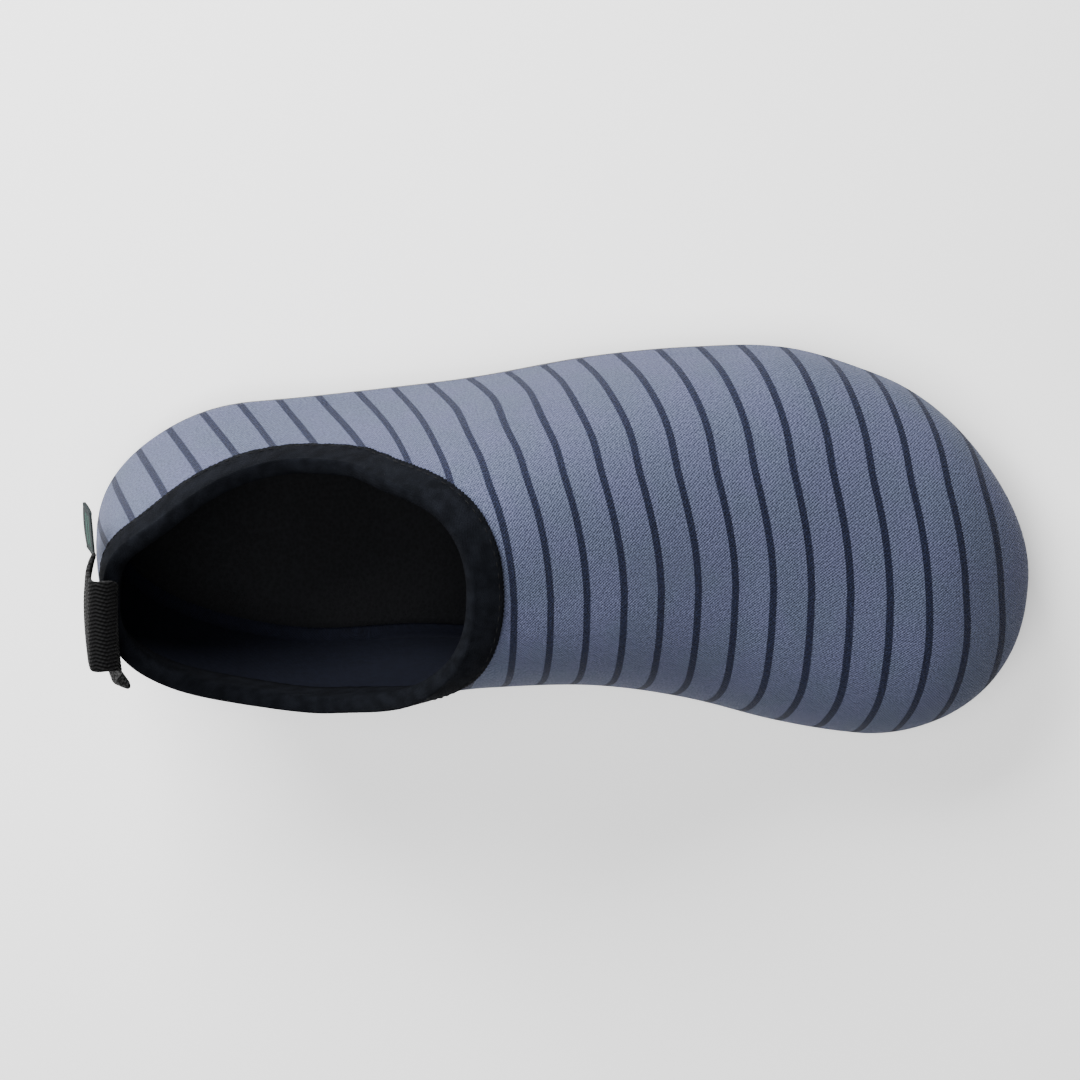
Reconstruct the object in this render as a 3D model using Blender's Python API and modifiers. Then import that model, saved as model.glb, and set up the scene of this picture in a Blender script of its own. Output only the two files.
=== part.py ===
"""Water shoe, left foot: a slip-on stretch upper on a low rubber sole.

Blender 4.5 script, metres, +Z up, +X towards the toe, +Y towards the little toe.
The origin is on the ground under the middle of the heel.
"""
import math

import bmesh
import bpy
import numpy as np
from mathutils import Matrix, Vector

# Driving sizes of the last and the upper
SHOE_LENGTH = 0.270
BALL_WIDTH = 0.108
HEEL_WIDTH = 0.075
INSTEP_HEIGHT = 0.087
TOE_HEIGHT = 0.0365
HEEL_HEIGHT = 0.067
COLLAR_DIP = 0.0113
COLLAR_LENGTH = 0.099
THROAT_RADIUS = 0.034
HEEL_RADIUS = 0.0435
TOE_RADIUS = 0.049
BACK_RADIUS = 0.014
TOE_CAP_RADIUS = 0.038
SIDE_LEAN = 0.0058
BACK_LEAN = 0.0020
LEAN_HEIGHT = 0.045
ANKLE_FRONT = 0.008
ANKLE_BLEND = 0.060
WALL = 0.0018
BULGE_HEIGHT = 0.0076
TUCK_IN = 0.0068
MARGIN = 0.0072
GAP = 0.0003

# Driving sizes of the sole and the insole
HEEL_STACK = 0.0084
FORE_STACK = 0.0054
TOE_SPRING = 0.0060
ARCH_RISE = 0.0012
HEEL_BEVEL = 0.0010
BAND_DROP = 0.0009
TREAD_DEPTH = 0.0018
GROOVE_WIDTH = 0.0024
GROOVE_PITCH = 0.011
GROOVE_BOW = 0.006
INSOLE_THICK = 0.003
HEEL_CENTRE = 0.045
BALL_CENTRE = 0.194

# Driving sizes of the trim
TAPE_WIDTH = 0.0080
TAPE_THICK = 0.0013
WEB_WIDTH = 0.025
WEB_THICK = 0.0013
LOOP_HEIGHT = 0.026
LOOP_DEPTH = 0.0064
LOOP_LEAN = -0.0028
LOOP_SEAM = 0.009
REAR_SEAM = 0.001
LOOP_SIDE = -0.0030
LOOP_SKEW = 0.0145
LOOP_MIDDLE = -0.0070
LOOP_YAW = 9.0
LOOP_TWIST = 6.0
LOOP_CUP = 0.0018
SEAT_MARGIN = 0.0030
TAG_WIDTH = 0.013
TAG_HEIGHT = 0.010
TAG_THICK = 0.0008
TAG_SIDE = 0.0110
TAG_FLARE = 8.0
TAG_YAW = 6.0

# Shape exponents: toe and heel outline, throat
TOE_FULLNESS = 2.2
HEEL_FULLNESS = 2.2
THROAT_FULLNESS = 2.2

# Columns of the ring grid from the heel to the toe, on each side
HALF_COLUMNS = 34

# Sections of the last: share of the length, spread from heel width to ball width,
# lateral part of the width, centre line as a share of the ball width,
# rise from toe height to instep height, fullness of the section
SECTIONS = (
    (0.00, -0.52, 0.510, -0.005, 0.99, 3.0),
    (0.10, -0.27, 0.515, 0.005, 1.05, 3.0),
    (0.22, 0.00, 0.515, 0.000, 1.07, 3.0),
    (0.36, 0.11, 0.543, 0.010, 1.00, 2.9),
    (0.50, 0.41, 0.564, 0.010, 0.72, 2.8),
    (0.62, 0.78, 0.557, -0.010, 0.46, 2.7),
    (0.72, 1.03, 0.541, -0.032, 0.32, 2.6),
    (0.82, 0.96, 0.522, -0.070, 0.20, 2.6),
    (0.91, 0.70, 0.504, -0.102, 0.10, 2.6),
    (1.00, 0.38, 0.470, -0.136, 0.00, 2.6),
)

# Collar edge: share of the length, share of the dip below heel height
COLLAR = (
    (0.00, 0.00),
    (0.06, 0.32),
    (0.15, 1.00),
    (0.28, 0.86),
    (0.40, 0.48),
    (0.52, 0.02),
)

# Plan of the collar edge: share of the length, how much each side draws in
COLLAR_DRAW = (
    (0.00, 0.052, 0.000),
    (0.05, 0.047, 0.000),
    (0.09, 0.018, 0.000),
    (0.14, 0.004, 0.000),
    (0.21, 0.000, 0.004),
    (0.25, 0.022, 0.010),
    (0.28, 0.058, 0.008),
    (0.31, 0.058, 0.000),
    (0.34, 0.042, 0.000),
    (0.37, 0.020, 0.000),
)

# Turned-under edge: share of the bulge height above the floor, share of the tuck
TUCK = (
    (1.00, 0.00),
    (0.82, 0.05),
    (0.66, 0.19),
    (0.47, 0.50),
    (0.28, 0.69),
    (0.12, 0.84),
)
LIP_ROW = 3

# Vertices across the cupped webbing
CUP_COLUMNS = 6

# Ring columns: share of the half ring, arc share of the outline, arc share of the collar
COLUMNS = (
    (0.00, 0.00, 0.00),
    (0.30, 0.22, 0.40),
    (0.60, 0.52, 0.80),
    (0.80, 0.78, 0.90),
    (1.00, 1.00, 1.00),
)

# Rows of the dome from the widest line to the tape's lower edge, as arc shares
DOME_ROWS = (0.08, 0.18, 0.30, 0.44, 0.58, 0.72, 0.86, 1.00)

# Side of the sole: inset from the outline, and height above ground or floor
SOLE_EDGE = 0.0048
SOLE_CHAMFER = 0.0005
SOLE_SIDE = 0.0036
BAND_LOW = 0.0024
BAND_HIGH = 0.0017
BAND_RADIUS = 0.0005


def smooth_curve(points, x):
    """Cubic Hermite curve through the points, with Catmull-Rom slopes."""
    xs, ys = np.array(points, float).T
    slope = np.gradient(ys, xs)
    x = np.clip(x, xs[0], xs[-1])
    k = np.clip(np.searchsorted(xs, x, side="right") - 1, 0, len(xs) - 2)
    step = xs[k + 1] - xs[k]
    t = (x - xs[k]) / step
    ease = t * t * (3 - 2 * t)
    rise = (t**3 - 2 * t**2 + t) * slope[k] + (t**3 - t**2) * slope[k + 1]
    return ys[k] + (ys[k + 1] - ys[k]) * ease + step * rise


def unit(vectors):
    return vectors / np.linalg.norm(vectors, axis=-1)[..., None]


def ease_in_out(t):
    t = np.clip(t, 0, 1)
    return t * t * (3 - 2 * t)


def column(table, number):
    """Pairs of the first column and the numbered one."""
    return [(row[0], row[number]) for row in table]


def end_round(distance, radius, power):
    """0 at an end, 1 from one radius inwards, as a superellipse quarter."""
    t = np.clip(1 - distance / radius, 0, 1)
    return (1 - t**power) ** (1 / power)


def ground_clearance(x):
    """Height of the tread above the ground: heel bevel, arch and toe spring."""
    share = x / SHOE_LENGTH
    heel = HEEL_BEVEL * np.clip(1 - share / 0.05, 0, 1) ** 2
    arch = ARCH_RISE * np.sin(np.pi * np.clip((share - 0.30) / 0.24, 0, 1)) ** 2
    toe = TOE_SPRING * np.clip((share - 0.79) / 0.21, 0, 1) ** 1.8
    return heel + arch + toe


def floor_height(x):
    """Height of the sole's inner floor, where the upper's margin lies."""
    ramp = ease_in_out((x / SHOE_LENGTH - 0.15) / 0.40)
    return ground_clearance(x) + HEEL_STACK + (FORE_STACK - HEEL_STACK) * ramp


def equator_height(x):
    """Height of the upper's widest line."""
    return floor_height(x) + BULGE_HEIGHT


def centre_line(x):
    return BALL_WIDTH * smooth_curve(column(SECTIONS, 3), x / SHOE_LENGTH)


def half_width(x, side):
    """Half width at the widest line; side is +1 lateral or -1 medial."""
    share = x / SHOE_LENGTH
    width = HEEL_WIDTH + (BALL_WIDTH - HEEL_WIDTH) * smooth_curve(column(SECTIONS, 1), share)
    lateral = smooth_curve(column(SECTIONS, 2), share)
    ends = end_round(x, HEEL_RADIUS, HEEL_FULLNESS)
    ends = ends * end_round(SHOE_LENGTH - x, TOE_RADIUS, TOE_FULLNESS)
    return width * np.where(side > 0, lateral, 1 - lateral) * ends


def fullness(x):
    """Exponent of the section: 2 is round, larger is squarer."""
    return smooth_curve(column(SECTIONS, 5), x / SHOE_LENGTH)


def ridge_height(x):
    """Height of the last's ridge, rounded down to the widest line at both ends."""
    rise = smooth_curve(column(SECTIONS, 4), x / SHOE_LENGTH)
    top = TOE_HEIGHT + (INSTEP_HEIGHT - TOE_HEIGHT) * rise
    ends = end_round(x, BACK_RADIUS, 2) * end_round(SHOE_LENGTH - x, TOE_CAP_RADIUS, 2)
    return equator_height(x) + (top - equator_height(x)) * ends


def dome_height(x, y):
    """Height of the last's surface over a point of the plan."""
    offset = y - centre_line(x)
    width = np.maximum(half_width(x, np.sign(offset)), 1e-6)
    fraction = np.clip(np.abs(offset) / width, 0, 1)
    arch = (1 - fraction ** fullness(x)) ** (1 / fullness(x))
    return equator_height(x) + (ridge_height(x) - equator_height(x)) * arch


def lean(points):
    """Lean the ankle part towards the inner ankle, and its back rearwards."""
    x, y, z = points[..., 0], points[..., 1], points[..., 2]
    rise = np.clip((z - equator_height(x)) / LEAN_HEIGHT, 0, 1.3)
    ankle = ease_in_out((COLLAR_LENGTH + ANKLE_FRONT - x) / ANKLE_BLEND)
    back = end_round(x, HEEL_RADIUS, HEEL_FULLNESS)
    moved = points.copy()
    moved[..., 0] -= BACK_LEAN * rise * (1 - back**2)
    moved[..., 1] -= SIDE_LEAN * rise * ankle * back
    return moved


def resample(points, shares):
    """Points at the given shares of a polyline's length."""
    steps = np.linalg.norm(np.diff(points, axis=0), axis=1)
    reach = np.concatenate([[0], np.cumsum(steps)])
    wanted = np.asarray(shares) * reach[-1]
    return np.stack([np.interp(wanted, reach, points[:, k]) for k in range(points.shape[1])], 1)


def close_ring(lateral, medial):
    """One ring of columns: heel, lateral side, toe, medial side."""
    return np.concatenate([lateral, medial[-2:0:-1]])


def outline_half(side, shares):
    """Half of the widest outline in plan, from heel to toe."""
    turn = np.linspace(0, math.pi, 500)
    x = SHOE_LENGTH * (1 - np.cos(turn)) / 2
    y = centre_line(x) + side * half_width(x, side)
    return resample(np.stack([x, y], 1), shares)


def collar_half(side, shares):
    """Half of the collar edge in plan, on the last, from heel to throat."""
    turn = np.linspace(0, math.pi, 900)
    x = COLLAR_LENGTH * (1 - np.cos(turn)) / 2
    height = HEEL_HEIGHT - COLLAR_DIP * smooth_curve(COLLAR, x / SHOE_LENGTH)
    low = equator_height(x)
    ratio = (height - low) / np.maximum(ridge_height(x) - low, 1e-6)
    open_part = (1 - np.clip(ratio, 0, 1) ** fullness(x)) ** (1 / fullness(x))
    front = end_round(COLLAR_LENGTH - x, THROAT_RADIUS, THROAT_FULLNESS)
    draw = smooth_curve(column(COLLAR_DRAW, 1 if side > 0 else 2), x / SHOE_LENGTH)
    y = centre_line(x) + side * half_width(x, side) * open_part * front * (1 - draw)
    start = np.nonzero(ratio < 1)[0][0] - 1
    return resample(np.stack([x, y], 1)[start:], shares)


def ring_shares():
    share = np.linspace(0, 1, HALF_COLUMNS + 1)
    return smooth_curve(column(COLUMNS, 1), share), smooth_curve(column(COLUMNS, 2), share)


def outline_ring():
    shares = ring_shares()[0]
    return close_ring(outline_half(1, shares), outline_half(-1, shares))


def collar_ring():
    shares = ring_shares()[1]
    return close_ring(collar_half(1, shares), collar_half(-1, shares))


def inset_ring(inset):
    """The widest outline moved inwards in plan."""
    ring = outline_ring()
    along = unit(np.roll(ring, -1, axis=0) - np.roll(ring, 1, axis=0))
    inward = np.stack([along[:, 1], -along[:, 0]], 1)
    return ring + inset * inward


def lift(plan, height):
    """Plan points raised to a height given by a function of x, or an array."""
    z = height(plan[:, 0]) if callable(height) else height
    return np.column_stack([plan, z])


def margin_rows():
    """Rows of the upper's outer face from its turned-in edge to the widest line."""
    rows = []
    for inset in (TUCK_IN + MARGIN, TUCK_IN):
        rows.append(lift(inset_ring(inset), lambda x: floor_height(x) + GAP))
    for share, tuck in sorted(TUCK):
        height = share * BULGE_HEIGHT
        rows.append(lift(inset_ring(tuck * TUCK_IN), lambda x, h=height: floor_height(x) + h))
    return rows


def dome_rows():
    """Rows of the upper's outer face above the widest line, up to the collar."""
    outline, collar = outline_ring(), collar_ring()
    blend = np.linspace(0, 1, 160) ** 2.2
    plan = outline + blend[:, None, None] * (collar - outline)
    height = dome_height(plan[..., 0], plan[..., 1])
    sheet = lean(np.concatenate([plan, height[..., None]], axis=2))
    edge = sheet[-1]
    rows = [[] for _ in range(len(DOME_ROWS) + 2)]
    for number in range(len(outline)):
        line = sheet[:, number]
        away = np.min(np.linalg.norm(line[:, None] - edge[None], axis=2), axis=1)
        last = len(line) - np.argmax(away[::-1] > TAPE_WIDTH)
        low_part, tape_part = line[:last], line[last - 1:]
        for place, point in enumerate(resample(low_part, DOME_ROWS)):
            rows[place].append(point)
        rows[-2].append(resample(tape_part, [0.5])[0])
        rows[-1].append(line[-1])
    return [np.array(row) for row in rows]


def skin_rows():
    """All rows of the upper's outer face, from the turned-in edge to the collar."""
    return np.array(margin_rows() + dome_rows())


def skin_normals(rows):
    """Outward unit normals of the grid of rows."""
    steps = unit(np.diff(rows, axis=0))
    up = unit(np.concatenate([steps[:1], steps[1:] + steps[:-1], steps[-1:]]))
    onward = unit(np.roll(rows, -1, axis=1) - rows)
    around = onward + np.roll(onward, 1, axis=1)
    return unit(np.cross(up, around))


def tuck_ring(height, offset):
    """Plan ring where the turned-under face, moved by an offset, passes a height."""
    rows = skin_rows()
    face = (rows + offset * skin_normals(rows))[1:2 + len(TUCK)]
    above = np.maximum.accumulate(face[..., 2] - floor_height(face[..., 0]), axis=0)
    return np.array([
        [np.interp(height, above[:, k], face[:, k, axis]) for axis in (0, 1)]
        for k in range(rows.shape[1])
    ])


def material(name, colour, roughness):
    finish = bpy.data.materials.new(name)
    finish.use_nodes = True
    shader = finish.node_tree.nodes["Principled BSDF"]
    shader.inputs["Base Color"].default_value = (*colour, 1.0)
    shader.inputs["Roughness"].default_value = roughness
    shader.inputs["Metallic"].default_value = 0.0
    finish.diffuse_color = (*colour, 1.0)
    return finish


def collection(name):
    group = bpy.data.collections.new(name)
    bpy.context.scene.collection.children.link(group)
    return group


def add_object(name, bm, group, finish=None):
    """A mesh object from a bmesh whose points are measured from the heel's back."""
    mesh = bpy.data.meshes.new(name)
    bmesh.ops.translate(bm, verts=bm.verts, vec=(-HEEL_CENTRE, 0, 0))
    bm.to_mesh(mesh)
    bm.free()
    if finish:
        mesh.materials.append(finish)
    mesh.shade_smooth()
    mesh.set_sharp_from_angle(angle=math.radians(40))
    obj = bpy.data.objects.new(name, mesh)
    group.objects.link(obj)
    return obj


def ring_grid(bm, rows):
    """Closed rings of vertices joined row by row; returns the rings."""
    rings = [[bm.verts.new(point) for point in row] for row in rows]
    for low, high in zip(rings, rings[1:]):
        for k in range(len(low)):
            following = (k + 1) % len(low)
            bm.faces.new((low[k], high[k], high[following], low[following]))
    return rings


def fill_across(bm, ring):
    """Close a ring with bars from each lateral column to its medial partner."""
    count = len(ring)
    for k in range(count // 2):
        corners = [ring[k], ring[k + 1], ring[count - k - 1], ring[(count - k) % count]]
        if k == 0:
            corners = corners[:3]
        if k + 1 == count // 2:
            corners = [corners[0], corners[1], corners[3]]
        bm.faces.new(corners)


def finish_closed(bm):
    bmesh.ops.recalc_face_normals(bm, faces=bm.faces)
    bmesh.ops.triangulate(bm, faces=bm.faces)


def build_upper(group, finish):
    """Open outer face, from the turned-in margin to the collar, with a real wall."""
    bm = bmesh.new()
    ring_grid(bm, skin_rows())
    obj = add_object("upper", bm, group, finish)
    shell = obj.modifiers.new("wall", "SOLIDIFY")
    shell.thickness = WALL
    shell.offset = -1
    shell.use_even_offset = True
    return obj


def build_insole(group, finish):
    """Footbed resting on the upper's margin and on the sole's raised floor."""
    seat = 2 * GAP + WALL
    shares = (0.0, 0.5, 0.9)
    outlines = [tuck_ring(seat + share * INSOLE_THICK, -(WALL + GAP)) for share in shares]
    outlines.append(outlines[0])
    heights = [seat + share * INSOLE_THICK for share in (*shares, 1.0)]
    bm = bmesh.new()
    rings = ring_grid(bm, [
        lift(outline, lambda x, h=height: floor_height(x) + h)
        for outline, height in zip(outlines, heights)
    ])
    fill_across(bm, rings[0])
    fill_across(bm, rings[-1])
    finish_closed(bm)
    return add_object("insole", bm, group, finish)


def sole_rows():
    """Rows of the sole's surface: tread edge, side band, lip, channel, raised floor."""
    rows = skin_rows()
    cup = rows + GAP * skin_normals(rows)
    lip_height = TUCK[LIP_ROW][0] * BULGE_HEIGHT
    side = (
        (SOLE_EDGE, lambda x: ground_clearance(x)),
        (SOLE_EDGE - SOLE_CHAMFER, lambda x: ground_clearance(x) + SOLE_CHAMFER),
        (SOLE_SIDE, lambda x: floor_height(x) - 1.6 * BAND_DROP),
        (BAND_LOW, lambda x: floor_height(x) - BAND_DROP),
        (BAND_HIGH, lambda x: floor_height(x) + lip_height - BAND_RADIUS),
        (BAND_HIGH + BAND_RADIUS, lambda x: floor_height(x) + lip_height),
    )
    surface = [lift(inset_ring(inset), height) for inset, height in side]
    first_tuck = 2
    lip = first_tuck + len(TUCK) - 1 - LIP_ROW
    surface += [cup[row] for row in range(lip, 0, -1)]
    channel = TUCK_IN + MARGIN + GAP
    surface.append(lift(inset_ring(channel), floor_height))
    surface.append(lift(inset_ring(channel), lambda x: floor_height(x) + GAP + WALL))
    return surface


def groove_places():
    """Groove lines: pairs about the heel's middle and about the ball."""
    places = []
    for centre, pairs in ((HEEL_CENTRE, 3), (BALL_CENTRE, 5)):
        for k in range(pairs):
            places.append(centre - (k + 0.5) * GROOVE_PITCH)
            places.append(centre + (k + 0.5) * GROOVE_PITCH)
    return sorted(place for place in places if place < SHOE_LENGTH - TOE_RADIUS / 2)


def build_groove_cutter(group):
    """Bowed bars across the tread, one for each groove."""
    bm = bmesh.new()
    across = np.linspace(-0.7, 0.7, 7)
    for place in groove_places():
        x = place + GROOVE_BOW * (0.2 - across**2)
        y = across * BALL_WIDTH + centre_line(place)
        top = ground_clearance(x) + TREAD_DEPTH
        rings = []
        for k in range(len(across)):
            corners = (
                (x[k] - GROOVE_WIDTH / 2, y[k], -TREAD_DEPTH),
                (x[k] + GROOVE_WIDTH / 2, y[k], -TREAD_DEPTH),
                (x[k] + GROOVE_WIDTH / 2, y[k], top[k]),
                (x[k] - GROOVE_WIDTH / 2, y[k], top[k]),
            )
            rings.append([bm.verts.new(corner) for corner in corners])
        for low, high in zip(rings, rings[1:]):
            for k in range(4):
                bm.faces.new((low[k], low[(k + 1) % 4], high[(k + 1) % 4], high[k]))
        bm.faces.new(rings[0])
        bm.faces.new(rings[-1])
    finish_closed(bm)
    cutter = add_object("groove_cutter", bm, group)
    cutter.hide_render = True
    cutter.display_type = "WIRE"
    return cutter


def build_outsole(group, cutters, finish):
    """Rubber sole: tread with cross grooves, side band and a lip round the upper."""
    bm = bmesh.new()
    rings = ring_grid(bm, sole_rows())
    fill_across(bm, rings[0])
    fill_across(bm, rings[-1])
    finish_closed(bm)
    obj = add_object("outsole", bm, group, finish)
    cut = obj.modifiers.new("grooves", "BOOLEAN")
    cut.operation = "DIFFERENCE"
    cut.solver = "EXACT"
    cut.object = build_groove_cutter(cutters)
    return obj


def tape_face(rows):
    """Outer face of the collar tape, for what seats on it."""
    return rows[-3:] + (GAP + TAPE_THICK) * skin_normals(rows)[-3:]


def build_collar_binding(group, finish):
    """Tape folded over the collar edge, from the upper's own face and normals."""
    rows = skin_rows()
    normals = skin_normals(rows)
    low, middle, edge = rows[-3], rows[-2], rows[-1]
    n_low, n_middle, n_edge = normals[-3], normals[-2], normals[-1]
    onward = unit(edge - middle)
    near, far = GAP, GAP + TAPE_THICK
    inner = -(WALL + 1.5 * GAP)
    deep = inner - TAPE_THICK
    shoulder = 0.6 * TAPE_THICK
    section = [
        low + near * n_low,
        middle + near * n_middle,
        edge + near * n_edge + GAP * onward,
        edge + inner * n_edge + GAP * onward,
        middle + inner * n_middle,
        low + inner * n_low,
        low + deep * n_low,
        middle + deep * n_middle,
        edge + (deep + 0.2 * TAPE_THICK) * n_edge + (GAP + shoulder) * onward,
        edge - 0.5 * WALL * n_edge + (GAP + TAPE_THICK) * onward,
        edge + (far - 0.2 * TAPE_THICK) * n_edge + (GAP + shoulder) * onward,
        middle + far * n_middle,
        low + far * n_low,
    ]
    bm = bmesh.new()
    ring_grid(bm, section + section[:1])
    bmesh.ops.remove_doubles(bm, verts=bm.verts, dist=1e-7)
    finish_closed(bm)
    return add_object("collar_binding", bm, group, finish)


def cupped(y, height, top):
    """Forward curve of the loop's width round the heel, flat at its top."""
    return LOOP_CUP * ((y - LOOP_MIDDLE) / (WEB_WIDTH / 2)) ** 2 * (1 - np.clip(height / top, 0, 1))


def seat_behind_heel(turn, centre, sides, ends, curve):
    """Matrix that puts a trim piece's local face x = 0, plus its curve, behind the heel."""
    rows = skin_rows()
    heel = np.concatenate([rows[-8:-2].reshape(-1, 3), tape_face(rows).reshape(-1, 3)])
    place = Matrix.Translation(centre) @ turn
    local = np.array([place.inverted() @ Vector(point) for point in heel[heel[:, 0] < HEEL_CENTRE]])
    x, y, z = local.T
    near = (y > sides[0] - SEAT_MARGIN) & (y < sides[1] + SEAT_MARGIN)
    near &= (z > ends[0] - SEAT_MARGIN) & (z < ends[1] + SEAT_MARGIN)
    behind = (x - curve(y, z))[near].min() - GAP
    return place @ Matrix.Translation((behind, 0, 0))


def loop_path():
    """Side view of the loop: up the front leg, over the bend and down the rear leg."""
    front = -WEB_THICK / 2
    rear = front - WEB_THICK - GAP
    bend = LOOP_DEPTH / 2
    middle = front - LOOP_LEAN
    top = LOOP_HEIGHT - bend
    points = [
        (front, -LOOP_SEAM),
        (front, 0.0),
        (front + 0.25 * LOOP_DEPTH, 0.3 * LOOP_HEIGHT),
    ]
    for degrees in range(0, 181, 30):
        angle = math.radians(degrees)
        points.append((middle + bend * math.cos(angle), top + bend * math.sin(angle)))
    points += [
        (rear - 0.05 * LOOP_DEPTH, 0.3 * LOOP_HEIGHT),
        (rear, 0.0),
        (rear, -REAR_SEAM),
    ]
    path = np.array(points)
    reach = np.concatenate([[0], np.cumsum(np.linalg.norm(np.diff(path, axis=0), axis=1))])
    wanted = np.linspace(0, reach[-1], 30)
    return np.stack([smooth_curve(list(zip(reach, path[:, k])), wanted) for k in (0, 1)], 1)


def loop_lines():
    """Lines of the loop from side to side; its front leg slants towards the inner side."""
    path = loop_path()
    x, z = path[:, 0], path[:, 1]
    rise = np.clip(z / z.max(), 0, 1)
    skew = np.where(np.arange(len(z)) < np.argmax(z), LOOP_SKEW * (z / z.max() - 1), 0)
    turn = math.radians(LOOP_TWIST) * rise
    lines = []
    for across in np.linspace(-WEB_WIDTH / 2, WEB_WIDTH / 2, CUP_COLUMNS):
        forward = cupped(across + skew, z, z.max()) + across * np.sin(turn)
        lines.append(np.stack([x + forward, skew + across * np.cos(turn), z], 1))
    return lines


def strip_object(name, lines, thickness, place, group, finish):
    """A band through lines of local points, with Solidify for its thickness."""
    bm = bmesh.new()
    rows = [[bm.verts.new(point) for point in line] for line in lines]
    for near, far in zip(rows, rows[1:]):
        for k in range(len(near) - 1):
            bm.faces.new((near[k], near[k + 1], far[k + 1], far[k]))
    bmesh.ops.transform(bm, matrix=place, verts=bm.verts)
    obj = add_object(name, bm, group, finish)
    body = obj.modifiers.new("thickness", "SOLIDIFY")
    body.thickness = thickness
    body.offset = 0
    body.use_even_offset = True
    return obj


def build_pull_loop(group, finish):
    """Webbing loop sewn behind the heel, open towards both sides."""
    turn = Matrix.Rotation(math.radians(LOOP_YAW), 4, "Z")
    centre = Vector((0, LOOP_SIDE, HEEL_HEIGHT))
    half = WEB_WIDTH / 2 + GAP
    sides = (-half - LOOP_SKEW * (1 + LOOP_SEAM / LOOP_HEIGHT), half)
    ends = (-LOOP_SEAM, LOOP_HEIGHT)
    place = seat_behind_heel(turn, centre, sides, ends, lambda y, z: cupped(y, z, LOOP_HEIGHT))
    return strip_object("pull_loop", loop_lines(), WEB_THICK, place, group, finish)


def build_heel_tag(group, finish):
    """Small woven tag under the tape, standing off the heel at its lower edge."""
    turn = Matrix.Rotation(math.radians(TAG_YAW), 4, "Z")
    turn = turn @ Matrix.Rotation(math.radians(TAG_FLARE), 4, "Y")
    centre = Vector((0, TAG_SIDE, HEEL_HEIGHT - TAPE_WIDTH - GAP))
    half = TAG_WIDTH / 2
    place = seat_behind_heel(turn, centre, (-half, half), (-TAG_HEIGHT, GAP), lambda y, z: 0)
    drops = np.linspace(0, -TAG_HEIGHT, 5)
    lines = [[(-TAG_THICK / 2, y, z) for z in drops] for y in (-half, half)]
    return strip_object("heel_tag", lines, TAG_THICK, place, group, finish)


def clear_scene():
    for obj in list(bpy.data.objects):
        bpy.data.objects.remove(obj, do_unlink=True)


def main():
    clear_scene()
    shoe = collection("water_shoe")
    cutters = collection("cutters")
    rubber = material("outsole_rubber", (0.022, 0.024, 0.030), 0.62)
    footbed = material("insole_foam", (0.016, 0.017, 0.020), 0.85)
    fabric = material("upper_fabric", (0.125, 0.146, 0.212), 0.72)
    tape = material("binding_tape", (0.012, 0.012, 0.015), 0.88)
    webbing = material("loop_webbing", (0.010, 0.010, 0.011), 0.60)
    woven = material("tag_weave", (0.045, 0.055, 0.057), 0.80)
    build_outsole(shoe, cutters, rubber)
    build_insole(shoe, footbed)
    build_upper(shoe, fabric)
    build_collar_binding(shoe, tape)
    build_pull_loop(shoe, webbing)
    build_heel_tag(shoe, woven)


main()
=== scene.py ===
"""Looks of the left water shoe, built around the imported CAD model.

Lengths are in metres. The functions of the last measure x from the heel's back;
the row frame's x is that less HEEL_CENTRE. Weave coordinates are in millimetres.
"""
import math

import bmesh
import bpy
import numpy as np
from mathutils import Matrix, Vector


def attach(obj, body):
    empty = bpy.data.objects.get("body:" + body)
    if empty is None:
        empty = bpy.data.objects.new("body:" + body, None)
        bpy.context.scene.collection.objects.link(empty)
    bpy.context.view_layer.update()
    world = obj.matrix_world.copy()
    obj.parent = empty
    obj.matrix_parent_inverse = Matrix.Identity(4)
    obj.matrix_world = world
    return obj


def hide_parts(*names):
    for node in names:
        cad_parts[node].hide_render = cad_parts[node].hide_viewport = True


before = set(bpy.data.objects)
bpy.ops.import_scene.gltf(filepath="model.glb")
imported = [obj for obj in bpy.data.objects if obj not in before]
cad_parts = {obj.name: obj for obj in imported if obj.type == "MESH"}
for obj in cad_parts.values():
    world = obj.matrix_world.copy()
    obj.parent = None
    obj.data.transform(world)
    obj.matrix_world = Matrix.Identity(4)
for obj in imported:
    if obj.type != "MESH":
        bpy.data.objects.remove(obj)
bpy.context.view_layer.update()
MM = 0.001

# Sizes of the last, the sole and the trim, as in the CAD source
SHOE_LENGTH = 0.270
BALL_WIDTH = 0.108
HEEL_WIDTH = 0.075
INSTEP_HEIGHT = 0.087
TOE_HEIGHT = 0.0365
HEEL_HEIGHT = 0.067
COLLAR_DIP = 0.0113
COLLAR_LENGTH = 0.099
THROAT_RADIUS = 0.034
HEEL_RADIUS = 0.0435
TOE_RADIUS = 0.049
BACK_RADIUS = 0.014
TOE_CAP_RADIUS = 0.038
SIDE_LEAN = 0.0058
BACK_LEAN = 0.0020
LEAN_HEIGHT = 0.045
ANKLE_FRONT = 0.008
ANKLE_BLEND = 0.060
WALL = 0.0018
BULGE_HEIGHT = 0.0076
TUCK_IN = 0.0068
MARGIN = 0.0072
GAP = 0.0003
HEEL_STACK = 0.0084
FORE_STACK = 0.0054
TOE_SPRING = 0.0060
ARCH_RISE = 0.0012
HEEL_BEVEL = 0.0010
BAND_DROP = 0.0009
TREAD_DEPTH = 0.0018
GROOVE_WIDTH = 0.0024
GROOVE_PITCH = 0.011
GROOVE_BOW = 0.006
INSOLE_THICK = 0.003
HEEL_CENTRE = 0.045
BALL_CENTRE = 0.194
TAPE_WIDTH = 0.0080
TAPE_THICK = 0.0013
WEB_WIDTH = 0.025
WEB_THICK = 0.0013
LOOP_HEIGHT = 0.026
LOOP_DEPTH = 0.0064
LOOP_LEAN = -0.0028
LOOP_SEAM = 0.009
REAR_SEAM = 0.001
LOOP_SIDE = -0.0030
LOOP_SKEW = 0.0145
LOOP_MIDDLE = -0.0070
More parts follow.
